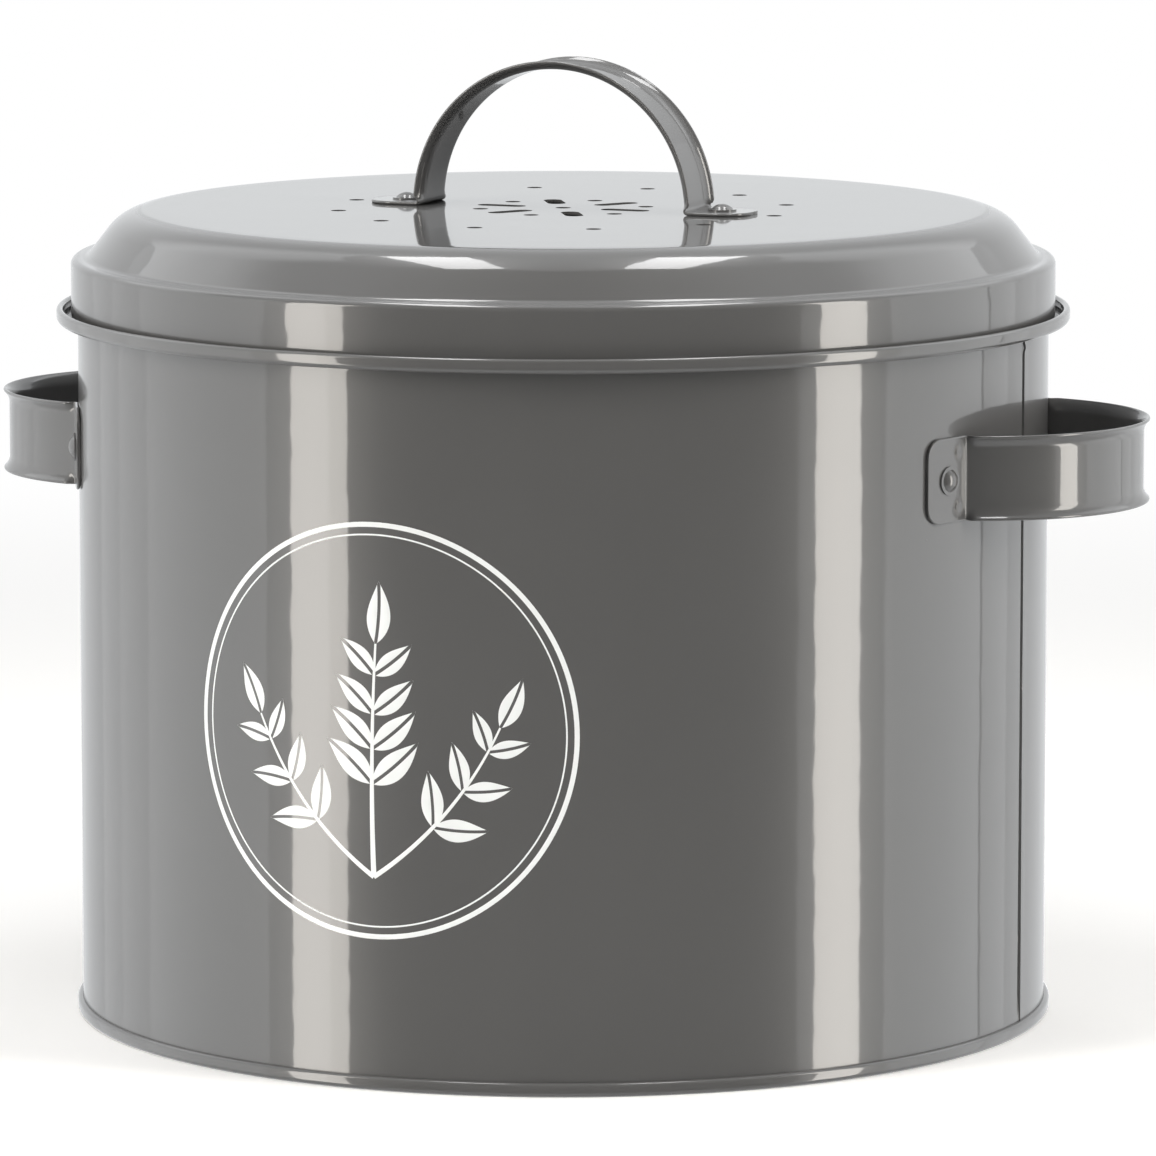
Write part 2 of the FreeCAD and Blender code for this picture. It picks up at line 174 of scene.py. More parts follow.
class LidSettings(PropertyGroup):
    radius: length("Radius", "Outside of the skirt", lid_high.x)
    gauge: length("Gauge", "Thickness of the sheet", 0.0008)
    ledge_height: length("Ledge height", "Ledge above the ground", 0.1878)
    ledge_width: length("Ledge width", "From the skirt to the foot of the crown", 0.0039)
    crown_run: length("Crown run", "From the crown's foot to the corner of the flat top", 0.0089)
    shoulder_bend: length("Shoulder bend", "Inside radius of the shoulder", 0.0114)
    crown_bend: length("Crown bend", "Hollow at the crown's foot", 0.002)
    skirt_bend: length("Skirt bend", "Inside radius at the ledge's edge", 0.0009)
    plate_radius: length("Plate radius", "Vented middle of the flat top", 0.090)
    hole_radius: length("Hole radius", "Round vents", 0.0019)
    slot_width: length("Slot width", "Radial vents", 0.0045)
    slot_inner: length("Slot start", "Inner ends of the radial vents", 0.0102)
    slot_outer: length("Slot end", "Outer ends of the radial vents", 0.0228)
    slot_count: IntProperty(name="Slots", description="Number of radial vents", default=6)
    inner_ring: length("Inner ring", "Round vents between the slots", 0.0206)
    outer_ring: length("Outer ring", "Round vents further out", 0.0558)
    ring_count: IntProperty(name="Ring vents", description="Number of vents in the outer ring", default=12)


class FilterSettings(PropertyGroup):
    dish: length("Dish", "How far the foam sags in its middle", 0.0004)
    edge: length("Edge", "Softened edge of the foam", 0.0016)
    foam_colour: colour("Foam", "Charcoal foam", (0.022, 0.022, 0.023))
    plastic_colour: colour("Plastic", "Moulded cover", (0.016, 0.016, 0.017))
    pore_pitch: length("Pore pitch", "Between the foam's pores", 0.0016)
    pore_depth: length("Pore depth", "How deep the foam's pores look", 0.0006)
    grit_pitch: length("Grit pitch", "Size of the charcoal's grit", 0.0006)
    grain_pitch: length("Grain pitch", "Size of the plastic's grain", 0.0005)
    grain_depth: length("Grain depth", "How deep the plastic's grain looks", 0.00006)
    wear_pitch: length("Wear pitch", "Size of paler and darker patches on the plastic", 0.02)


class PrintSettings(PropertyGroup):
    place: angle("Place", "Middle of the print, from the ears' line", -94.4)
    height: length("Height", "Middle of the print above the ground", 0.086)
    ring_radius: length("Ring radius", "Outside of the outer ring", 0.0497)
    ring_line: length("Ring line", "Width of the outer ring", 0.0012)
    inner_gap: length("Inner gap", "From the outer ring to the inner ring", 0.0016)
    inner_line: length("Inner line", "Width of the inner ring", 0.0004)
    film: length("Film", "Thickness of the ink", 0.00004)
    ink_colour: colour("Ink", "Screen-printed white", (0.87, 0.90, 0.91))
    tooth_pitch: length("Tooth pitch", "Size of the screen's marks in the ink", 0.0004)
    tooth_depth: length("Tooth depth", "How deep the screen's marks look", 0.000008)
    thin_pitch: length("Thin pitch", "Size of the ink's thin spots", 0.004)


class LacquerSettings(PropertyGroup):
    base: colour("Lacquer", "Grey stove lacquer", (0.096, 0.096, 0.097))
    gloss: factor("Gloss roughness", "Roughness of the sharp reflection", 0.05)
    haze: factor("Haze roughness", "Roughness of the broad reflection", 0.30)
    haze_share: factor("Haze", "Strength of the broad reflection", 0.5)
    peel: length("Peel", "Height of the orange peel", 0.000022)
    peel_pitch: length("Peel pitch", "Length of the orange peel's waves", 0.0065)
    wave_pitch: length("Wave pitch", "Length of the sheet's slow waves", 0.045)
    nib_pitch: length("Nib pitch", "Between dust nibs in the lacquer", 0.021)
    cloud_pitch: length("Cloud pitch", "Size of the lacquer's clouds", 0.06)
    fine_pitch: length("Fine pitch", "Size of the finest unevenness", 0.0007)
    nib: length("Nib", "Height of the dust nibs", 0.000055)
    nib_core: factor("Nib core", "Full height of a nib, in pitches", 0.008)
    nib_edge: factor("Nib edge", "Foot of a nib, in pitches", 0.018)
    gloss_spread: factor("Gloss spread", "By how much the sharp reflection's roughness varies", 0.03)
    tint_spread: factor("Tint spread", "By what share the colour varies to both sides", 0.05)
    sheet_wave: length("Sheet wave", "Height of the slow waves on wall and base", 0.00008)
    lid_wave: length("Lid wave", "Height of the slow waves on the lid", 0.00006)
    strap_wave: length("Strap wave", "Height of the slow waves on ears and handle", 0.00012)
    rivet_wave: length("Rivet wave", "Height of the slow waves on the rivets", 0.00004)
    strap_peel: level("Strap peel", "Orange peel on ears and handle, against the wall's", 0.6)
    lid_peel: level("Lid peel", "Orange peel on the lid, against the wall's", 2.2)
    level_haze: factor("Level haze", "Share of the broad reflection that the lid's flat top keeps", 0.2)
    level_peel: factor("Level peel", "Share of the orange peel that the lid's flat top keeps", 0.2)
    level_start: length("Level start", "From the flat top down to where its finish starts", 0.0004)
    level_full: length("Level full", "From the flat top down to where its finish is full", 0.00005)


class StudioSettings(PropertyGroup):
    azimuth: angle("Azimuth", "Camera's place round the bin", 17.5)
    distance: length("Distance", "Camera's distance from the bin's axis", 2.0)
    height: length("Height", "Camera's height above the ground", 0.3855)
    pitch: angle("Pitch", "How far the camera looks down", 7.93)
    yaw: angle("Yaw", "How far the camera looks to the right of the axis", 0.104)
    focal_pixels: level("Focal length", "In pixels of the photograph", 8120.0)
    floor_colour: colour("Floor", "Pale floor", (0.86, 0.86, 0.86))
    floor_glow: level("Floor glow", "The floor's own light near the bin", 0.24)
    floor_near: length("Floor near", "Up to here the floor takes a shadow", 0.35)
    floor_far: length("Floor far", "From here on the floor is plain white", 1.1)
    floor_radius: length("Floor radius", "Edge of the floor", 9.0)
    strip_level: level("Strips", "Brightness of the two upright strip lights", 7.75)
    strip_colour: colour("Strip colour", "Colour of the strip lights", (1.0, 0.955, 0.89))
    strip_distance: length("Strip distance", "From the bin's axis to the strips", 1.3)
    strip_top: length("Strip top", "Upper end of the strips", 1.8)
    strip_foot: length("Strip foot", "How far the strips go on below the floor, in the gloss alone", 0.6)
    key_level: level("Keys", "Brightness of the soft lights beside the strips, unseen in the gloss", 3.2)
    key_width: length("Key width", "Width of the soft lights", 0.6)
    key_low: length("Key low", "Lower end of the soft lights", 0.2)
    key_high: length("Key high", "Upper end of the soft lights", 1.4)
    top_level: level("Top boxes", "Brightness of the two softboxes above", 10.1)
    top_height: length("Top height", "Softboxes above the ground", 1.0)
    top_aside: length("Top aside", "From the bin's axis to the softboxes above", 0.22)
    top_width: length("Top width", "Softboxes above, from left to right", 0.16)
    top_depth: length("Top depth", "Softboxes above, from front to back", 0.52)
    room_level: level("Room", "Brightness of the room in the gloss", 0.93)
    room_colour: colour("Room colour", "Colour of the room's light", (0.965, 0.985, 1.0))
    fill_level: level("Fill", "Brightness of the room's soft light", 0.22)
    sheet_distance: length("Sheet distance", "From the bin's axis to the sheets that the gloss sees", 1.6)


class BinSettings(PropertyGroup):
    wall: PointerProperty(type=WallSettings)
    base: PointerProperty(type=BaseSettings)
    lid: PointerProperty(type=LidSettings)
    strap: PointerProperty(type=StrapSettings)
    ear: PointerProperty(type=EarSettings)
    handle: PointerProperty(type=HandleSettings)
    filter: PointerProperty(type=FilterSettings)
    print: PointerProperty(type=PrintSettings)
    lacquer: PointerProperty(type=LacquerSettings)
    studio: PointerProperty(type=StudioSettings)


# Meshes

def grid_quads(rows, columns, close_rows=False, close_columns=False):
    """Quads between neighbouring rows and columns of a grid whose points are numbered row by row."""
    row, column = np.meshgrid(
        np.arange(rows if close_rows else rows - 1),
        np.arange(columns if close_columns else columns - 1),
        indexing="ij",
    )
    below, beside = (row + 1) % rows, (column + 1) % columns
    corners = [(row, column), (row, beside), (below, beside), (below, column)]
    return np.stack([r * columns + c for r, c in corners], -1).reshape(-1, 4)


def signed_volume(points, quads):
    """Sum over the quads of the box product of their corners, which is positive where they face outward."""
    a, b, c, d = (points[quads[:, corner]] for corner in range(4))
    return np.sum(np.cross(a, b) * c) + np.sum(np.cross(a, c) * d)


def solid_mesh(name, points, quads, caps=(), sharp=SHARP_EDGE):
    """A mesh whose faces are turned outward, smooth but for edges sharper than an angle in degrees."""
    if signed_volume(points, quads) < 0:
        quads = quads[:, ::-1]
        caps = [cap[::-1] for cap in caps]
    mesh = bpy.data.meshes.new(name)
    mesh.from_pydata(points.tolist(), [], quads.tolist() + [list(map(int, cap)) for cap in caps])
    mesh.polygons.foreach_set("use_smooth", np.ones(len(mesh.polygons), bool))
    mesh.set_sharp_from_angle(angle=math.radians(sharp))
    mesh.validate()
    mesh.update()
    return mesh


def new_piece(mesh, body, material, replaced=()):
    """Links a mesh as a piece that rides on a body and may stand for CAD nodes."""
    mesh.materials.append(material)
    piece = bpy.data.objects.new(mesh.name, mesh)
    bpy.context.scene.collection.objects.link(piece)
    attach(piece, body)
    if replaced:
        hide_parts(*replaced)
    return piece


def finish_nodes(names, material):
    """Gives CAD nodes a finish through their own material slots."""
    for name in names:
        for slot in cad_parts[name].material_slots:
            slot.material = material


def smooth_step(values, start, end):
    """0 before start, 1 after end, and the cubic 3t^2 - 2t^3 between them."""
    t = np.clip((values - start) / (end - start), 0, 1)
    return t * t * (3 - 2 * t)


def between(values, start, end, ramp):
    """1 from start to end, with smooth ramps inside both."""
    return smooth_step(values, start, start + ramp) * (1 - smooth_step(values, end - ramp, end))


def bell(*shares):
    """exp(-(a^2 + b^2 + ...)), a soft round spot."""
    return np.exp(-sum(share**2 for share in shares))


# Outlines

def unit(vector):
    return vector / np.linalg.norm(vector)


def turn_of(into, out):
    """Signed angle from one direction in a plane to another."""
    return math.atan2(into[0] * out[1] - into[1] * out[0], into @ out)


def rounded_path(corners, radii, steps=7):
    """Straight runs joined by arcs, which touch both runs at radius x tan(turn / 2) from the corner."""
    points = [corners[:1]]
    for before, corner, after, radius in zip(corners, corners[1:], corners[2:], radii):
        into, out = unit(corner - before), unit(after - corner)
        turn = turn_of(into, out)
        first = corner - into * radius * math.tan(abs(turn) / 2)
        side = np.array([-into[1], into[0]]) * math.copysign(radius, turn)
        t = np.linspace(0, turn, steps)[:, None]
        points.append(first + side - np.cos(t) * side + np.sin(np.abs(t)) * into * radius)
    points.append(corners[-1:])
    points = np.vstack(points)
    runs = np.linalg.norm(np.diff(points, axis=0), axis=1)
    return points[np.concatenate([[True], runs > SAME_PLACE])]


def shifted_path(corners, shift):
    """A path of straight runs moved to its left, with each corner on its bisector."""
    runs = np.diff(corners, axis=0)
    runs = runs / np.linalg.norm(runs, axis=1)[:, None]
    left = np.stack([-runs[:, 1], runs[:, 0]], -1)
    bisectors = (left[1:] + left[:-1]) / (1 + np.sum(left[1:] * left[:-1], 1))[:, None]
    return corners + shift * np.vstack([left[:1], bisectors, left[-1:]])


def spread(points, step):
    """The same path with further points, evenly spaced, on the runs that are longer than a step."""
    runs = np.diff(points, axis=0)
    counts = np.maximum(1, np.ceil(np.linalg.norm(runs, axis=1) / step)).astype(int)
    index = np.repeat(np.arange(len(counts)), counts)
    along = np.concatenate([np.arange(count) / count for count in counts])
    return np.vstack([points[index] + along[:, None] * runs[index], points[-1:]])


def revolved(radii, heights, angles):
    """x = r cos a, y = r sin a, z = h, where r and h may change with the angle too."""
    return np.stack(np.broadcast_arrays(radii * np.cos(angles), radii * np.sin(angles), heights), -1)


def round_angles(count):
    return np.linspace(0, FULL_TURN, count, endpoint=False)


def turned_mesh(name, outline, capped=False, count=360):
    """An outline of radius and height turned round the axis.

    A capped outline starts and ends at the axis, where small caps close the mesh.
    """
    grid = revolved(outline[:, :1], outline[:, 1:], round_angles(count)[None, :])
    rows, columns = grid.shape[:2]
    rim = np.arange(columns)
    caps = [rim[::-1], (rows - 1) * columns + rim] if capped else []
    return solid_mesh(name, grid.reshape(-1, 3), grid_quads(rows, columns, close_columns=True), caps)


# Wall

def wall_outline(wall):
    """Section of the wall as radius and height: the show face upward, then the back face down again.

    The last item tells the show face, 1, from the back face, 0.
    """
    rim = wall.radius + wall.rim_step
    hem = rim - 2 * wall.gauge - wall.hem_gap
    step = wall.seat_height - wall.gauge
    show = np.array([
        (wall.radius, wall_low.z),
        (wall.radius, step - 2 * wall.rim_step),
        (wall.radius, step),
        (rim, step),
        (rim, wall_high.z),
        (hem, wall_high.z),
        (hem, wall.seat_height + wall.hem_foot),
    ])
    back = shifted_path(show, wall.gauge)
    fold = wall.hem_gap / 2
    bends = np.array([0, wall.seat_bend, wall.rim_bend, fold, fold])
    on_show = np.array([0, 0, 1, 1, 1]) * wall.gauge
    on_back = np.array([0, 1, 0, 0, 0]) * wall.gauge
    faces = [rounded_path(show, bends + on_show, 9), rounded_path(back, bends + on_back, 9)]
    front, rear = (wall_face(face) for face in faces)
    return np.vstack([front, rear[::-1]]), np.repeat([1, 0], [len(front), len(rear)])


def wall_face(face):
    """A face's path with its points: far apart on the plain wall, close together from its end upward."""
    return np.vstack([spread(face[:2], WALL_STEP)[:-1], spread(face[1:], BEND_STEP)])


def wall_angles(wall):
    """Angles from the lock seam round the wall, close together at the seam."""
    groove = np.linspace(-1.0, 1.0, 49) * wall.groove_width / wall.radius
    return np.unique(np.round(np.concatenate([round_angles(360) - math.pi, groove]), 5))


def wall_points(wall, base):
    """The section turned round the axis, with the lock seam's shapes added to its radius.

    The groove is a trench with steep sides that gets wider downward, with a drop of lacquer in its upper
    end, and the fold is a plateau on the back face.
    """
    outline, show = wall_outline(wall)
    angles = wall_angles(wall)[None, :]
    radius, height = outline[:, :1], outline[:, 1:]
    front = show[:, None]
    step = wall.seat_height - wall.gauge
    across = np.abs(angles) * wall.radius
    reach = wall.groove_width / 2 * (1 + wall.groove_spread * (1 - height / step) ** 2)
    groove = wall.groove_depth * (1 - smooth_step(across / reach, wall.groove_floor, 1.0))
    groove = groove * between(height, base.rim_height, step - wall.seat_bend, wall.gauge)
    drop_place = step - wall.drop_depth
    drop = wall.drop_rise * bell(across / wall.drop_radius, (height - drop_place) / wall.drop_radius)
    half = wall.fold_width / 2
    fold = wall.fold_gauge * (1 - smooth_step(across, half - wall.gauge, half))
    fold = fold * between(height, base.rise + base.gauge, wall.seat_height - wall.fold_margin, wall.gauge)
    shape = radius + front * (drop - groove) - (1 - front) * fold
    return revolved(shape, height, angles + wall.seam_turn)


# Base and lid

def base_outline(base, wall):
    """Section of the base from the axis, under its floor, round the folded rim and back on the floor."""
    inner = wall.radius - wall.gauge - base.clearance
    foot = inner - base.gauge
    outer = base_high.x
    top = base.rise + base.gauge
    corners = np.array([
        (AXIS_CAP, base.rise),
        (foot, base.rise),
        (foot, 0),
        (outer, 0),
        (outer, base.rim_height),
        (wall.radius, base.rim_height),
        (wall.radius, wall_low.z),
        (inner, wall_low.z),
        (inner, top),
        (AXIS_CAP, top),
    ])
    small = base.gauge / 10
    bends = [base.floor_bend, base.rim_bend, base.rim_bend, base.rim_round, small, small, small]
    return spread(rounded_path(corners, [*bends, base.floor_bend + base.gauge]), BASE_STEP)


def lid_outline(lid):
    """Section of the lid outside its vented plate: the show face outward and down, then the back face."""
    foot = lid.radius - lid.ledge_width
    show = np.array([
        (lid.plate_radius, lid_high.z),
        (foot - lid.crown_run, lid_high.z),
        (foot, lid.ledge_height),
        (lid.radius, lid.ledge_height),
        (lid.radius, lid_low.z),
    ])
    back = shifted_path(show, -lid.gauge)
    bends = np.array([lid.shoulder_bend, lid.crown_bend, lid.skirt_bend])
    on_show = np.array([1, 0, 1]) * lid.gauge
    front = rounded_path(show, bends + on_show, 19)
    rear = rounded_path(back, bends + lid.gauge - on_show, 19)[::-1]
    return spread(np.vstack([front, rear]), LID_STEP)


def circle(radius, middle, count=40):
    t = round_angles(count)
    return np.stack([middle[0] + radius * np.cos(t), middle[1] + radius * np.sin(t)], -1)


def slot_loop(lid):
    """Outline of a radial slot along X: two half circles joined by straight sides."""
    half = lid.slot_width / 2
    t = np.linspace(-math.pi / 2, math.pi / 2, 13)
    end = np.stack([lid.slot_outer - half + half * np.cos(t), half * np.sin(t)], -1)
    start = np.stack([lid.slot_inner + half - half * np.cos(t), -half * np.sin(t)], -1)
    return np.vstack([end, start])


def turned_flat(points, angle):
    """Points in the plane turned round the origin."""
    cosine, sine = math.cos(angle), math.sin(angle)
    return points @ np.array([[cosine, sine], [-sine, cosine]])


def vent_loops(lid, turn):
    """Outlines of the vents: a middle hole, slots with holes between them, and an outer ring of holes."""
    loops = [circle(lid.hole_radius, (0, 0))]
    for index in range(lid.slot_count):
        start = turn + index * FULL_TURN / lid.slot_count
        loops.append(turned_flat(slot_loop(lid), start))
        halfway = start + math.pi / lid.slot_count
        loops.append(turned_flat(circle(lid.hole_radius, (lid.inner_ring, 0)), halfway))
    for index in range(lid.ring_count):
        place = turn + index * FULL_TURN / lid.ring_count
        loops.append(turned_flat(circle(lid.hole_radius, (lid.outer_ring, 0)), place))
    return loops


def vented_plate(lid, turn):
    """Flat middle of the lid: a filled flat curve of the lid's gauge, with the vents as inner loops."""
    curve = bpy.data.curves.new("vented_plate", "CURVE")
    curve.dimensions = "2D"
    curve.fill_mode = "BOTH"
    curve.extrude = lid.gauge / 2
    for loop in [circle(lid.plate_radius, (0, 0), 360), *vent_loops(lid, turn)]:
        spline = curve.splines.new("POLY")
        spline.points.add(len(loop) - 1)
        flat = np.hstack([loop, np.zeros((len(loop), 1)), np.ones((len(loop), 1))])
        spline.points.foreach_set("co", flat.ravel())
        spline.use_cyclic_u = True
        spline.use_smooth = False
    shape = bpy.data.objects.new("vented_plate", curve)
    mesh = bpy.data.meshes.new_from_object(shape)
    mesh.transform(Matrix.Translation((0, 0, lid_high.z - lid.gauge / 2)))
    bpy.data.objects.remove(shape)
    bpy.data.curves.remove(curve)
    return mesh


def lid_mesh(lid, turn):
    """The turned rim of the lid sewn to its flat, vented middle, without the plate's own outer edge."""
    rim = turned_mesh("lid_rim", lid_outline(lid))
    plate = vented_plate(lid, turn)
    shape = bmesh.new()
    shape.from_mesh(plate)
    edge = lid.plate_radius - lid.gauge / 2
    sides = [face for face in shape.faces if abs(face.normal.z) < 0.5]
    outer = [face for face in sides if face.calc_center_median().xy.length > edge]
    bmesh.ops.delete(shape, geom=outer, context="FACES_ONLY")
    shape.from_mesh(rim)
    bmesh.ops.remove_doubles(shape, verts=shape.verts, dist=10 * SAME_PLACE)
    mesh = bpy.data.meshes.new("lid_cap")
    shape.to_mesh(mesh)
    shape.free()
    bpy.data.meshes.remove(rim)
    bpy.data.meshes.remove(plate)
    mesh.set_sharp_from_angle(angle=math.radians(SHARP_EDGE))
    mesh.update()
    return mesh


# Strap

def strap_section(strap, curl, width):
    """Loop round the strap, as offset from its inner face and place across its width, for each row.

    The web is flat to a half width m. Beyond it the sheet bends outward about a middle at offset a: its
    faces are arcs of radius a and a - g through the curl angle, and a round of g / 2 closes the edge.
    """
    gauge, bend = strap.gauge, strap.curl_radius
    core = bend - gauge / 2
    flat = width / 2 - core * np.sin(curl) - gauge / 2
    web = np.linspace(0, 1, 15)[None, :-1]
    sweep = np.linspace(0, 1, 13)[None, :] * curl
    back = sweep[:, ::-1]
    edge = np.linspace(0, math.pi, 9)[None, 1:-1] + curl
    offset = np.hstack([
        0 * web * flat,
        bend - bend * np.cos(sweep),
        bend - core * np.cos(curl) - gauge / 2 * np.cos(edge),
        bend - (bend - gauge) * np.cos(back),
        gauge + 0 * web * flat,
    ])
    place = np.hstack([
        web * flat,
        flat + bend * np.sin(sweep),
        flat + core * np.sin(curl) + gauge / 2 * np.sin(edge),
        flat + (bend - gauge) * np.sin(back),
        web[:, ::-1] * flat,
    ])
    mirrored = slice(-2, 0, -1)
    return np.hstack([offset, offset[:, mirrored]]), np.hstack([place, -place[:, mirrored]])


def arc(centre, radius, start, end, outside, steps):
    """Points of an arc and the strap's outward directions there.

    They point away from the arc's middle, or to it where outside is -1.
    """
    t = np.linspace(start, end, steps)
    away = np.stack([np.cos(t), np.sin(t)], -1)
    return centre + radius * away, outside * away


def run_lengths(points):
    return np.concatenate([[0], np.cumsum(np.linalg.norm(np.diff(points, axis=0), axis=1))])


def half_strap(tab, crease, bow):
    """Joins a tab, a crease and half a bow, each of them points and outward directions."""
    points = np.vstack([tab[0], crease[0][1:], bow[0][1:]])
    outward = np.vstack([tab[1], crease[1][1:], bow[1][1:]])
    return points, outward


def mirrored_strap(points, outward, axis):
    """Adds the mirror image of half a strap, whose last point lies on the mirror."""
    flip = np.ones(2)
    flip[axis] = -1
    return np.vstack([points, points[-2::-1] * flip]), np.vstack([outward, outward[-2::-1] * flip])


def strap_grid(strap, points, outward, width, tab, corner):
    """The curled section carried along a path in a plane: path + outward x offset, and the place across.

    The curl dies out before the creases, and at each end the width follows the corners' rounds:
    half width = w / 2 - c + sqrt(c^2 - d^2), where d is how far the row lies inside the round.
    """
    along = run_lengths(points)
    from_end = np.minimum(along, along[-1] - along)[:, None]
    fade = smooth_step(from_end, tab, tab + strap.curl_run)
    curl = strap.tab_curl + (strap.curl - strap.tab_curl) * fade
    inside = np.clip(corner - from_end, 0, corner)
    widths = width - 2 * (corner - np.sqrt(corner**2 - inside**2))
    offset, place = strap_section(strap, curl, widths)
    before_crease = (tab - strap.dent_run - from_end) / strap.dent_radius
    aside = (np.abs(place) - strap.dent_share * width / 2) / strap.dent_radius
    dent = strap.dent_depth * bell(before_crease, aside)
    offset = np.where(offset > strap.gauge / 2, offset - dent, offset) - strap.gauge / 2
    flat = points[:, None, :] + outward[:, None, :] * offset[..., None]
    return flat, place


def strap_mesh(name, world):
    """Closes the grid of a strap round its section and at both ends."""
    rows, columns = world.shape[:2]
    last = (rows - 1) * columns
    caps = [np.arange(columns)[::-1], last + np.arange(columns)]
    return solid_mesh(name, world.reshape(-1, 3), grid_quads(rows, columns, close_columns=True), caps)


def circle_meeting(gap, first, second):
    """Where a circle round the origin meets one whose middle lies a gap along X, on the side of +Y."""
    x = (first**2 - second**2 + gap**2) / (2 * gap)
    return np.array([x, math.sqrt(first**2 - x**2)])


def end_steps(start, end, steps):
    """Values that lie close together at the start, as the corners of a tab need."""
    return start + (end - start) * (1 - np.cos(np.linspace(0, math.pi / 2, steps)))


def ear_path(wall, strap, ear, reach):
    """Middle of an ear's sheet in plan: a tab on the wall, a crease, and the bow to its middle on +X."""
    half = strap.gauge / 2
    tab_radius = wall.radius + ear.lap + half
    bow_radius = ear.bow_radius + half
    bow_middle = wall.radius + reach - ear.bow_radius
    bend = strap.crease_radius + half
    bend_middle = circle_meeting(bow_middle, tab_radius + bend, bow_radius + bend)
    tab_start = math.atan2(bend_middle[1], bend_middle[0])
    foot = circle_meeting(bow_middle, wall.radius + ear.lap, ear.bow_radius)
    tab_end = math.atan2(foot[1], foot[0]) + ear.tab_length / (wall.radius + ear.lap)
    hub = np.array([bow_middle, 0])
    to_bow = bend_middle - hub
    bow_start = math.atan2(to_bow[1], to_bow[0])
    tab_angles = end_steps(tab_end, tab_start, 60)
    away = np.stack([np.cos(tab_angles), np.sin(tab_angles)], -1)
    tab = (tab_radius * away, away)
    crease = arc(bend_middle, bend, tab_start - math.pi, bow_start - math.pi, -1, 13)
    bow = arc(hub, bow_radius, bow_start, 0, 1, 70)
    points, outward = half_strap(tab, crease, bow)
    return *mirrored_strap(points, outward, 1), run_lengths(tab[0])[-1]


def handle_path(strap, handle):
    """Middle of the handle's sheet, upright: a tab on the lid, a crease, and the bow to its top."""
    half = strap.gauge / 2
    bow_radius = handle.bow_radius + half
    bend = strap.crease_radius + half
    level_up = half + bend
    bend_middle = np.array([math.sqrt((bow_radius + bend) ** 2 - level_up**2), level_up])
    tab_end = handle.bow_radius + handle.tab_length
    along = end_steps(tab_end, bend_middle[0], 60)
    tab = (np.stack([along, np.full_like(along, half)], -1), np.tile([0.0, 1.0], (len(along), 1)))
    bow_start = math.atan2(bend_middle[1], bend_middle[0])
    crease = arc(bend_middle, bend, -math.pi / 2, bow_start - math.pi, -1, 13)
    bow = arc(np.zeros(2), bow_radius, bow_start, math.pi / 2, 1, 70)
    points, outward = half_strap(tab, crease, bow)
    return *mirrored_strap(points, outward, 0), run_lengths(tab[0])[-1]


def turned_about_axis(points, angle):
    """Points turned round the upright axis."""
    cosine, sine = math.cos(angle), math.sin(angle)
    x, y, z = points[..., 0], points[..., 1], points[..., 2]
    return np.stack([x * cosine - y * sine, x * sine + y * cosine, z], -1)


# Print

def stroke(line, widths):
    """Ribbon along a line in the flat: each point moved sideways by half its width, left and right."""
    run = np.gradient(line, axis=0)
    side = np.stack([-run[:, 1], run[:, 0]], -1) / np.linalg.norm(run, axis=1)[:, None]
    return line, side * widths[:, None] / 2


def ring_stroke(radius, width, steps=181):
    """A circle of an even width, whose ends meet."""
    t = np.linspace(0, FULL_TURN, steps)
    line = np.stack([np.sin(t), np.cos(t)], -1)
    return radius * line, line * width / 2


# Of each twig: its heading from upright and its bend, in radians, its reach and its end leaf as shares of the
# ring's radius, and its pairs of leaves
TWIGS = (
    (0.04, -0.10, 1.12, 0.30, 4),
    (0.98, -0.55, 0.98, 0.26, 3),
    (-0.98, 0.55, 0.98, 0.26, 3),
)
# Foot of the twigs below the ring's middle, as a share of its radius
FOOT_SHARE = 0.70
# First and last pair of leaves on a stem, as shares of its reach
PAIR_SHARES = (0.40, 0.86)
# Stem's width at its foot and at its tip, as shares of its reach
STEM_SHARES = (0.024, 0.010)
# Leaf's half breadth and the gap along its rib, as shares of its length
SLIM_SHARE = 0.20
GAP_SHARE = 0.055
# Turn of a leaf away from its stem, and of its rib from end to end, in radians
LEAF_LEAN = 0.85
RIB_BEND = 0.25
# Runs of a stem and of a leaf's rib
STEM_RUNS = 60
RIB_RUNS = 40


def curved_line(start, course, reach):
    """Line of even runs along a list of headings: start + the sum of the runs before each point."""
    run = np.stack([np.cos(course), np.sin(course)], -1) * reach / (len(course) - 1)
    return start + np.cumsum(run, axis=0) - run[0]


def half_leaf(start, heading, size, side, gap):
    """One side of a leaf, between its rib and its edge.

    The rib is a slight arc, and the edge stands off from it by sin(pi t^0.8), which swells near the stalk.
    """
    t = np.linspace(0, 1, RIB_RUNS + 1)
    course = heading + RIB_BEND * (t - 0.5)
    rib = curved_line(start, course, size)
    normal = np.stack([-np.sin(course), np.cos(course)], -1) * side
    breadth = SLIM_SHARE * size * np.sin(math.pi * t**0.8)
    inner = np.minimum(gap / 2, breadth)
    return rib + normal * ((inner + breadth) / 2)[:, None], normal * ((breadth - inner) / 2)[:, None]


def leaf_halves(start, heading, size, gap):
    return [half_leaf(start, heading, size, side, gap) for side in (-1, 1)]


def twig(foot, heading, bend, reach, leaf, pairs):
    """A stem whose heading turns evenly by bend, with ever smaller pairs of leaves and one at its tip."""
    t = np.linspace(0, 1, STEM_RUNS + 1)
    course = heading + bend * t
    stem = curved_line(foot, course, reach)
    wide, narrow = STEM_SHARES
    strokes = [stroke(stem, reach * (wide + (narrow - wide) * t))]
    gap = GAP_SHARE * leaf
    for share in np.linspace(*PAIR_SHARES, pairs):
        index = int(round(share * STEM_RUNS))
        size = leaf * (1.25 - 0.5 * share)
        for lean in (-LEAF_LEAN, LEAF_LEAN):
            strokes += leaf_halves(stem[index], course[index] + lean, size, gap)
    return strokes + leaf_halves(stem[-1], course[-1], leaf, gap)


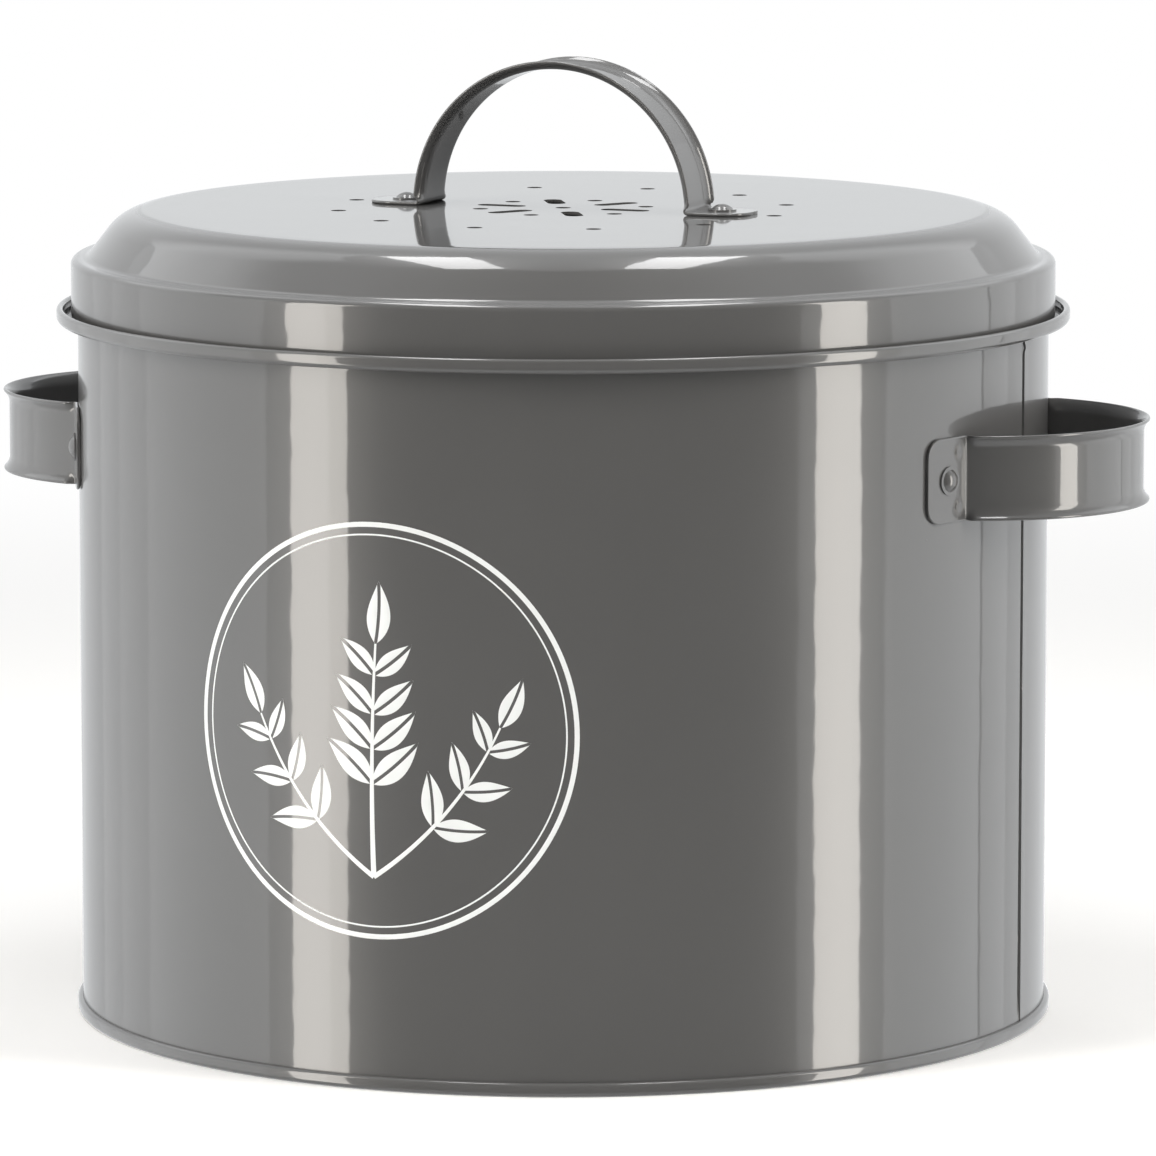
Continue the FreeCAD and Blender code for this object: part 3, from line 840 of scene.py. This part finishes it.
def sprig_strokes(radius):
    """Three leafy twigs that fan out from one foot, the middle one the tallest."""
    foot = np.array([0.0, -FOOT_SHARE * radius])
    strokes = []
    for lean, bend, reach, leaf, pairs in TWIGS:
        strokes += twig(foot, math.pi / 2 + lean, bend, reach * radius, leaf * radius, pairs)
    return strokes


def ink_mesh(name, strokes, wall, settings):
    """Lays strokes on the wall: a = a0 + u / R, z = z0 + v, and a lens of ink, film (1 - x^2), above it."""
    across = np.linspace(-1, 1, 7)
    lift = settings.film * (1 - across**2)
    sunk = -settings.film
    across = np.concatenate([across, [1, -1]])
    lift = np.concatenate([lift, [sunk, sunk]])
    points, quads, first = [], [], 0
    for line, half_side in strokes:
        flat = line[:, None, :] + across[None, :, None] * half_side[:, None, :]
        angles = settings.place + flat[..., 0] / wall.radius
        grid = revolved(wall.radius + lift[None, :], settings.height + flat[..., 1], angles)
        rows, columns = grid.shape[:2]
        faces = grid_quads(rows, columns, close_columns=True)
        if signed_volume(grid.reshape(-1, 3), faces) < 0:
            faces = faces[:, ::-1]
        points.append(grid.reshape(-1, 3))
        quads.append(faces + first)
        first += rows * columns
    return solid_mesh(name, np.vstack(points), np.vstack(quads), sharp=SHARP_INK_EDGE)


# Finishes

class Socket:
    """An output socket in a node tree. Sums on it add Math nodes."""

    def __init__(self, tree, socket):
        self.tree = tree
        self.socket = socket

    def math(self, operation, *values):
        return self.tree.node("ShaderNodeMath", {"operation": operation}, dict(enumerate(values)))

    def __add__(self, other):
        return self.math("ADD", self, other)

    def __radd__(self, other):
        return self.math("ADD", other, self)

    def __sub__(self, other):
        return self.math("SUBTRACT", self, other)

    def __rsub__(self, other):
        return self.math("SUBTRACT", other, self)

    def __mul__(self, other):
        return self.math("MULTIPLY", self, other)

    def __rmul__(self, other):
        return self.math("MULTIPLY", other, self)

    def step_down(self, start, end):
        """1 below start, 0 above end, and smooth between them."""
        inputs = {"Value": self, "From Min": start, "From Max": end, "To Min": 1.0, "To Max": 0.0}
        return self.tree.node("ShaderNodeMapRange", {"interpolation_type": "SMOOTHSTEP"}, inputs)


class NodeTree:
    """A node tree to which nodes are added one by one."""

    def __init__(self, tree):
        self.tree = tree
        tree.nodes.clear()

    def node(self, kind, settings=None, inputs=None, output=0):
        """Adds a node: first its settings, then the values or links of its sockets."""
        node = self.tree.nodes.new(kind)
        for name, value in (settings or {}).items():
            setattr(node, name, value)
        for name, value in (inputs or {}).items():
            if isinstance(value, Socket):
                self.tree.links.new(value.socket, node.inputs[name])
            else:
                node.inputs[name].default_value = value
        return Socket(self, node.outputs[output]) if node.outputs else node

    def place(self):
        return self.node("ShaderNodeTexCoord", output="Object")

    def noise(self, place, pitch, detail=2.0):
        """Soft noise from 0 to 1 whose waves are about a pitch long."""
        inputs = {"Vector": place, "Scale": 1 / pitch, "Detail": detail, "Roughness": 0.5}
        return self.node("ShaderNodeTexNoise", inputs=inputs)

    def cells(self, place, pitch):
        """Distance to the nearest of many scattered points, in pitches."""
        return self.node("ShaderNodeTexVoronoi", inputs={"Vector": place, "Scale": 1 / pitch})

    def tint(self, dark, light, share):
        """A colour between two, by a share."""
        settings = {"data_type": "RGBA"}
        return self.node("ShaderNodeMix", settings, {0: share, 6: (*dark, 1), 7: (*light, 1)}, output=2)

    def bump(self, height, distance):
        return self.node("ShaderNodeBump", inputs={"Height": height, "Distance": distance, "Strength": 1.0})

    def surface(self, inputs):
        shader = self.node("ShaderNodeBsdfPrincipled", inputs=inputs)
        self.node("ShaderNodeOutputMaterial", inputs={"Surface": shader})


def new_finish(name):
    material = bpy.data.materials.new(name)
    material.use_nodes = True
    return material, NodeTree(material.node_tree)


def scaled(colour, share):
    return tuple(channel * share for channel in colour)


def lacquer_finish(name, lacquer, waviness, peel_share=1.0, level_height=None):
    """Glossy stove lacquer: orange peel, slow waves of the sheet, dust nibs and a slight cloudiness.

    At a level height the lacquer lies so even that its peel and broad reflection nearly die out.
    """
    material, tree = new_finish(name)
    place = tree.place()
    peel = tree.noise(place, lacquer.peel_pitch, 1.0)
    slow = tree.noise(place, lacquer.wave_pitch, 1.0)
    nibs = tree.cells(place, lacquer.nib_pitch).step_down(lacquer.nib_core, lacquer.nib_edge)
    cloud = tree.noise(place, lacquer.cloud_pitch, 3.0)
    fine = tree.noise(place, lacquer.fine_pitch, 2.0)
    relief = (peel - 0.5) * (peel_share * lacquer.peel)
    haze = lacquer.haze_share * (0.9 + 0.2 * cloud)
    if level_height:
        up = tree.node("ShaderNodeSeparateXYZ", inputs={"Vector": place}, output="Z")
        below = up.step_down(level_height - lacquer.level_start, level_height - lacquer.level_full)
        haze = haze * (lacquer.level_haze + (1 - lacquer.level_haze) * below)
        relief = relief * (lacquer.level_peel + (1 - lacquer.level_peel) * below)
    height = relief + slow * waviness + nibs * lacquer.nib
    dark = scaled(lacquer.base, 1 - lacquer.tint_spread)
    light = scaled(lacquer.base, 1 + lacquer.tint_spread)
    tree.surface({
        "Base Color": tree.tint(dark, light, cloud),
        "Roughness": lacquer.gloss + lacquer.gloss_spread * (0.6 * cloud + 0.4 * fine - 0.5),
        "IOR": 1.5,
        "Coat Weight": haze,
        "Coat Roughness": lacquer.haze,
        "Coat IOR": 1.5,
        "Normal": tree.bump(height, 1.0),
    })
    return material


def ink_finish(name, settings):
    """Screen-printed ink: nearly flat, with the faint tooth of the screen and thin spots."""
    material, tree = new_finish(name)
    place = tree.place()
    tooth = tree.noise(place, settings.tooth_pitch, 1.0)
    thin = tree.noise(place, settings.thin_pitch, 3.0)
    tree.surface({
        "Base Color": tree.tint(scaled(settings.ink_colour, 0.92), settings.ink_colour, thin),
        "Roughness": 0.36 + 0.1 * tooth,
        "Normal": tree.bump(tooth, settings.tooth_depth),
    })
    return material


def plastic_finish(name, settings):
    """Moulded plastic with a fine spark-eroded grain."""
    material, tree = new_finish(name)
    place = tree.place()
    grain = tree.noise(place, settings.grain_pitch, 3.0)
    wear = tree.noise(place, settings.wear_pitch, 3.0)
    dark, light = scaled(settings.plastic_colour, 0.85), scaled(settings.plastic_colour, 1.25)
    tree.surface({
        "Base Color": tree.tint(dark, light, wear),
        "Roughness": 0.42 + 0.12 * grain,
        "Normal": tree.bump(grain, settings.grain_depth),
    })
    return material


def foam_finish(name, settings):
    """Open-celled foam loaded with charcoal: small pores, sunk by a bump and darkened by painted shade,
    between paler cell walls.
    """
    material, tree = new_finish(name)
    place = tree.place()
    pores = tree.cells(place, settings.pore_pitch)
    grit = tree.noise(place, settings.grit_pitch, 2.0)
    wall = 0.7 * pores + 0.3 * grit
    # Painted shade: the same relief that sinks the pores also darkens their colour, standing in for the shade
    # in their hollows.
    dark, light = scaled(settings.foam_colour, 0.35), scaled(settings.foam_colour, 1.8)
    tree.surface({
        "Base Color": tree.tint(dark, light, wall),
        "Roughness": 0.85 + 0.1 * grit,
        "Normal": tree.bump(wall, settings.pore_depth),
    })
    return material


# Operators

class BinOperator(Operator):
    """Shared access to the bin's settings"""

    bl_options = {"REGISTER", "UNDO"}

    @property
    def bin(self):
        return bpy.context.scene.compost_bin


class COMPOSTBIN_OT_wall(BinOperator):
    """Builds the rolled wall with its lock seam, step and hemmed rim"""

    bl_idname = "compost_bin.wall"
    bl_label = "Wall"

    def execute(self, context):
        grid = wall_points(self.bin.wall, self.bin.base)
        mesh = solid_mesh("wall_shell", grid.reshape(-1, 3), grid_quads(*grid.shape[:2], True, True))
        lacquer = self.bin.lacquer
        finish = lacquer_finish("wall lacquer", lacquer, lacquer.sheet_wave)
        new_piece(mesh, "bin", finish, ["body_wall"])
        return {"FINISHED"}


class COMPOSTBIN_OT_base(BinOperator):
    """Builds the pressed base, whose folded rim closes on the wall's foot"""

    bl_idname = "compost_bin.base"
    bl_label = "Base"

    def execute(self, context):
        mesh = turned_mesh("base_shell", base_outline(self.bin.base, self.bin.wall), True)
        lacquer = self.bin.lacquer
        finish = lacquer_finish("base lacquer", lacquer, lacquer.sheet_wave)
        new_piece(mesh, "bin", finish, ["base_plate"])
        return {"FINISHED"}


class COMPOSTBIN_OT_ears(BinOperator):
    """Builds the two carrying ears from strap with curled edges"""

    bl_idname = "compost_bin.ears"
    bl_label = "Ears"

    def execute(self, context):
        strap, ear, lacquer = self.bin.strap, self.bin.ear, self.bin.lacquer
        finish = lacquer_finish("ear lacquer", lacquer, lacquer.strap_wave, lacquer.strap_peel)
        for node, reach, turn in (("ear_right", ear.right_reach, 0), ("ear_left", ear.left_reach, math.pi)):
            points, outward, tab = ear_path(self.bin.wall, strap, ear, reach)
            flat, place = strap_grid(strap, points, outward, ear.width, tab, ear.tab_corner)
            grid = np.concatenate([flat, ear.height + place[..., None]], -1)
            mesh = strap_mesh(f"{node}_strap", turned_about_axis(grid, turn))
            new_piece(mesh, "bin", finish, [node])
        return {"FINISHED"}


class COMPOSTBIN_OT_rivets(BinOperator):
    """Finishes the rivets of the ears and of the lid's handle"""

    bl_idname = "compost_bin.rivets"
    bl_label = "Rivets"

    def execute(self, context):
        names = [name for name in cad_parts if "rivet" in name]
        lacquer = self.bin.lacquer
        finish_nodes(names, lacquer_finish("rivet lacquer", lacquer, lacquer.rivet_wave))
        return {"FINISHED"}


class COMPOSTBIN_OT_lid(BinOperator):
    """Builds the pressed lid with its vents, and finishes the collar under it"""

    bl_idname = "compost_bin.lid"
    bl_label = "Lid"

    def execute(self, context):
        mesh = lid_mesh(self.bin.lid, self.bin.handle.turn)
        lacquer = self.bin.lacquer
        finish = lacquer_finish("lid lacquer", lacquer, lacquer.lid_wave, lacquer.lid_peel, lid_high.z)
        new_piece(mesh, "lid", finish, ["lid_shell"])
        finish_nodes(["filter_collar"], finish)
        return {"FINISHED"}


class COMPOSTBIN_OT_handle(BinOperator):
    """Builds the lid's arched handle from strap with curled edges"""

    bl_idname = "compost_bin.handle"
    bl_label = "Lid handle"

    def execute(self, context):
        strap, handle, lacquer = self.bin.strap, self.bin.handle, self.bin.lacquer
        points, outward, tab = handle_path(strap, handle)
        flat, place = strap_grid(strap, points, outward, handle.width, tab, handle.tab_corner)
        grid = np.stack([flat[..., 0], place, handle.seat + flat[..., 1]], -1)
        mesh = strap_mesh("lid_handle_strap", turned_about_axis(grid, handle.turn))
        finish = lacquer_finish("handle lacquer", lacquer, lacquer.strap_wave, lacquer.strap_peel)
        new_piece(mesh, "lid", finish, ["lid_handle"])
        return {"FINISHED"}


class COMPOSTBIN_OT_filter(BinOperator):
    """Builds the charcoal foam and finishes the moulded cover that holds it"""

    bl_idname = "compost_bin.filter"
    bl_label = "Filter"

    def execute(self, context):
        settings = self.bin.filter
        radius = pad_high.x
        corners = np.array([
            (0, pad_high.z - settings.dish),
            (radius, pad_high.z),
            (radius, pad_low.z),
            (0, pad_low.z),
        ])
        outline = spread(rounded_path(corners, [settings.edge, settings.edge]), FOAM_STEP)
        outline[:, 0] = np.maximum(outline[:, 0], AXIS_CAP)
        mesh = turned_mesh("filter_foam", outline, True, 144)
        finish = foam_finish("charcoal foam", settings)
        foam = new_piece(mesh, "filter", finish, ["filter_pad"])
        finish_nodes(["filter_cover"], plastic_finish("moulded plastic", settings))
        return {"FINISHED"}


class COMPOSTBIN_OT_print(BinOperator):
    """Prints a ringed leaf sprig on the front of the wall"""

    bl_idname = "compost_bin.print"
    bl_label = "Print"

    def execute(self, context):
        settings = self.bin.print
        outer = settings.ring_radius - settings.ring_line / 2
        inner = settings.ring_radius - settings.ring_line - settings.inner_gap - settings.inner_line / 2
        strokes = [ring_stroke(outer, settings.ring_line), ring_stroke(inner, settings.inner_line)]
        strokes += sprig_strokes(settings.ring_radius)
        mesh = ink_mesh("front_print", strokes, self.bin.wall, settings)
        new_piece(mesh, "bin", ink_finish("white ink", settings))
        return {"FINISHED"}


# Studio

# Side, turn from the camera's line in degrees, width, and share of the strips' brightness
STRIPS = (("left", -56.5, 0.33, 1.0), ("right", 64.5, 0.28, 1.07))
# Name, brightness, turns from the camera's line and rises above the ground's level, in degrees, and the
# degrees in which both sides fade into the room
SHEETS = (
    ("front_flag", 0.13, (-54.4, 54.4), (-30, 34), 0),
    ("high_flag", 0.13, (-80, 80), (34, 72), 45),
    ("side_left", 1.74, (-112, -71), (-25, 30), 0),
    ("side_right", 1.84, (78.5, 112.5), (-25, 30), 0),
    ("side_right_edge", 0.30, (112.5, 113.4), (-35, 30), 0),
    ("back_left", 1.40, (-126, -112), (-25, 30), 0),
    ("back_right", 1.45, (113.4, 126), (-25, 30), 0),
    ("rear_left", 1.18, (-138, -126), (-25, 30), 0),
    ("rear_right", 1.08, (126, 140), (-25, 30), 0),
    ("high_left", 2.10, (-150, -92), (30, 64), 20),
    ("high_right", 2.10, (90, 150), (30, 64), 20),
    ("far_back", 1.03, (172, 188), (0, 14), 0),
)


# Points of a sheet from its foot to its top, and from side to side
SHEET_ROWS = 31
SHEET_COLUMNS = 41


def studio_direction(studio, angle):
    """Level direction from the bin, turned to the right of the camera's own by an angle."""
    turn = studio.azimuth + angle
    return np.array([math.sin(turn), -math.cos(turn), 0.0])


def softbox(name, place, turn, width, height, radiance, tint=(1.0, 1.0, 1.0)):
    """Area light with a given turn. Its power is radiance x pi x area."""
    light = bpy.data.lights.new(name, "AREA")
    light.shape = "RECTANGLE"
    light.size, light.size_y = width, height
    light.energy = radiance * math.pi * width * height
    light.color = tint
    lamp = bpy.data.objects.new(name, light)
    bpy.context.scene.collection.objects.link(lamp)
    lamp.location = place
    lamp.rotation_euler = turn
    lamp.visible_camera = False
    return lamp


def stage_sheet(name, points, quads, material):
    """A sheet that belongs to the stage."""
    mesh = bpy.data.meshes.new(name)
    mesh.from_pydata(points.tolist(), [], quads.tolist())
    mesh.materials.append(material)
    sheet = bpy.data.objects.new(name, mesh)
    bpy.context.scene.collection.objects.link(sheet)
    return sheet


def ray_kind(tree, name):
    """1 for rays of a kind and 0 for the rest, or how often a ray has met soft surfaces."""
    return tree.node("ShaderNodeLightPath", output=name)


def seen_rays(tree):
    """Rays from the camera, in the gloss and through glass."""
    return (ray_kind(tree, name) for name in ("Is Camera Ray", "Is Glossy Ray", "Is Transmission Ray"))


def in_view(tree):
    """1 for rays that have met no soft surface on their way, and 0 for the rest."""
    return ray_kind(tree, "Diffuse Depth").step_down(0.0, 1.0)


def make_floor(studio):
    """Wide pale disc: diffuse near the bin, where it keeps a shadow, and plain white further away."""
    material, tree = new_finish("pale floor")
    camera, glossy, through = seen_rays(tree)
    seen = camera + glossy + through
    away = tree.node("ShaderNodeVectorMath", {"operation": "LENGTH"}, {0: tree.place()}, output="Value")
    near = away.step_down(studio.floor_near, studio.floor_far)
    diffuse = tree.node("ShaderNodeBsdfDiffuse", inputs={"Color": (*studio.floor_colour, 1)})
    glow = tree.node("ShaderNodeEmission", inputs={"Strength": studio.floor_glow * seen})
    lit = tree.node("ShaderNodeAddShader", inputs={0: diffuse, 1: glow})
    white = tree.node("ShaderNodeEmission", inputs={"Strength": seen})
    both = tree.node("ShaderNodeMixShader", inputs={0: near, 1: white, 2: lit})
    tree.node("ShaderNodeOutputMaterial", inputs={"Surface": both})
    edge = circle(studio.floor_radius, (0, 0), 96)
    rim = np.hstack([edge, np.zeros((len(edge), 1))])
    floor = stage_sheet("floor", rim, np.arange(len(rim))[None, :], material)
    floor.visible_glossy = False
    floor.visible_shadow = False


def gloss_sheet(name, studio, radiance, turns, rises, fade):
    """Part of a ball round the bin, between two turns and two rises, that only the gloss sees."""
    material, tree = new_finish(name)
    share = tree.node("ShaderNodeAttribute", {"attribute_name": "share"}, output="Fac")
    seen = studio.room_level + (radiance - studio.room_level) * share
    strength = studio.fill_level + (seen - studio.fill_level) * in_view(tree)
    glow = tree.node("ShaderNodeEmission", inputs={"Color": (*studio.room_colour, 1), "Strength": strength})
    tree.node("ShaderNodeOutputMaterial", inputs={"Surface": glow})
    turn_steps = np.linspace(*turns, SHEET_COLUMNS)
    rise, turn = np.meshgrid(
        np.radians(np.linspace(*rises, SHEET_ROWS)),
        studio.azimuth + np.radians(turn_steps),
        indexing="ij",
    )
    flat = np.cos(rise)
    points = studio.sheet_distance * np.stack([flat * np.sin(turn), -flat * np.cos(turn), np.sin(rise)], -1)
    sheet = stage_sheet(name, points.reshape(-1, 3), grid_quads(*rise.shape), material)
    shares = between(turn_steps, *turns, fade) if fade else np.ones(SHEET_COLUMNS)
    share_layer = sheet.data.attributes.new("share", "FLOAT", "POINT")
    share_layer.data.foreach_set("value", np.broadcast_to(shares, rise.shape).ravel())
    sheet.visible_camera = False
    sheet.visible_diffuse = False
    sheet.visible_shadow = False
    sheet.visible_transmission = False


def make_world(studio):
    """White where it is seen, and softer as light on the object."""
    world = bpy.data.worlds.new("studio")
    bpy.context.scene.world = world
    world.use_nodes = True
    tree = NodeTree(world.node_tree)
    camera, glossy, through = seen_rays(tree)
    strength = studio.fill_level + (1 - studio.fill_level) * camera
    strength = strength + (studio.room_level - studio.fill_level) * (glossy + through) * in_view(tree)
    tint = tree.tint(studio.room_colour, (1, 1, 1), camera)
    back = tree.node("ShaderNodeBackground", inputs={"Color": tint, "Strength": strength})
    tree.node("ShaderNodeOutputWorld", inputs={"Surface": back})


def standing_box(name, studio, degrees, distance, width, low, high, radiance, tint):
    """Upright softbox that faces the bin's axis, turned from the camera's line by degrees to the right."""
    turn = math.radians(degrees)
    place = distance * studio_direction(studio, turn) + np.array([0, 0, (low + high) / 2])
    facing = (math.pi / 2, 0, studio.azimuth + turn)
    return softbox(name, place, facing, width, high - low, radiance, tint)


def make_lights(studio):
    """Two upright strips, whose feet only the gloss sees, soft keys beside them, and two boxes above."""
    for side, degrees, width, share in STRIPS:
        radiance = share * studio.strip_level
        strip = (studio, degrees, studio.strip_distance)
        tint = studio.strip_colour
        standing_box(f"strip_{side}", *strip, width, 0, studio.strip_top, radiance, tint)
        foot = standing_box(f"strip_{side}_foot", *strip, width, -studio.strip_foot, 0, radiance, tint)
        foot.visible_diffuse = False
        key_place = (studio.key_width, studio.key_low, studio.key_high)
        key = standing_box(f"key_{side}", *strip, *key_place, studio.key_level, tint)
        key.visible_glossy = False
    aside = studio.top_aside * studio_direction(studio, math.pi / 2)
    above = np.array([0, 0, studio.top_height])
    facing = (0, 0, studio.azimuth)
    shape = (studio.top_width, studio.top_depth)
    for side, sign in (("left", -1), ("right", 1)):
        softbox(f"top_{side}", above + sign * aside, facing, *shape, studio.top_level)


def make_camera(studio):
    """Camera at the photograph's place. Its lens gives the photograph's focal length on its own sensor."""
    camera = bpy.data.cameras.new("camera")
    camera.lens = studio.focal_pixels / PHOTO_WIDTH * camera.sensor_width
    camera.clip_end = 100.0
    eye = bpy.data.objects.new("camera", camera)
    bpy.context.scene.collection.objects.link(eye)
    eye.location = studio.distance * studio_direction(studio, 0) + np.array([0, 0, studio.height])
    eye.rotation_euler = (math.pi / 2 - studio.pitch, 0, studio.azimuth - studio.yaw)
    bpy.context.scene.camera = eye


class COMPOSTBIN_OT_stage(BinOperator):
    """Sets up the pale floor, the studio lights and the camera"""

    bl_idname = "compost_bin.stage"
    bl_label = "Stage"

    def execute(self, context):
        studio = self.bin.studio
        make_floor(studio)
        for sheet in SHEETS:
            gloss_sheet(sheet[0], studio, *sheet[1:])
        make_world(studio)
        make_lights(studio)
        make_camera(studio)
        context.scene.view_settings.view_transform = "Standard"
        return {"FINISHED"}


OPERATORS = (
    COMPOSTBIN_OT_wall,
    COMPOSTBIN_OT_base,
    COMPOSTBIN_OT_ears,
    COMPOSTBIN_OT_rivets,
    COMPOSTBIN_OT_lid,
    COMPOSTBIN_OT_handle,
    COMPOSTBIN_OT_filter,
    COMPOSTBIN_OT_print,
    COMPOSTBIN_OT_stage,
)

SETTINGS = (
    WallSettings,
    BaseSettings,
    LidSettings,
    StrapSettings,
    EarSettings,
    HandleSettings,
    FilterSettings,
    PrintSettings,
    LacquerSettings,
    StudioSettings,
    BinSettings,
)


class COMPOSTBIN_PT_sidebar(Panel):
    """Lists the steps that build the bin, and its settings"""

    bl_idname = "COMPOSTBIN_PT_sidebar"
    bl_label = "Compost Bin"
    bl_space_type = "VIEW_3D"
    bl_region_type = "UI"
    bl_category = "Compost Bin"

    def draw(self, context):
        for operator in OPERATORS:
            self.layout.operator(operator.bl_idname)
        settings = context.scene.compost_bin
        for group in settings.bl_rna.properties.keys():
            values = getattr(settings, group)
            if isinstance(values, PropertyGroup):
                box = self.layout.box()
                box.label(text=group.capitalize())
                for name in values.__annotations__:
                    box.prop(values, name)


CLASSES = (*SETTINGS, *OPERATORS, COMPOSTBIN_PT_sidebar)


def register():
    for item in CLASSES:
        bpy.utils.register_class(item)
    bpy.types.Scene.compost_bin = PointerProperty(type=BinSettings)


def unregister():
    del bpy.types.Scene.compost_bin
    for item in reversed(CLASSES):
        bpy.utils.unregister_class(item)


def main():
    register()
    for operator in OPERATORS:
        group, name = operator.bl_idname.split(".")
        getattr(getattr(bpy.ops, group), name)()


if __name__ == "__main__":
    main()
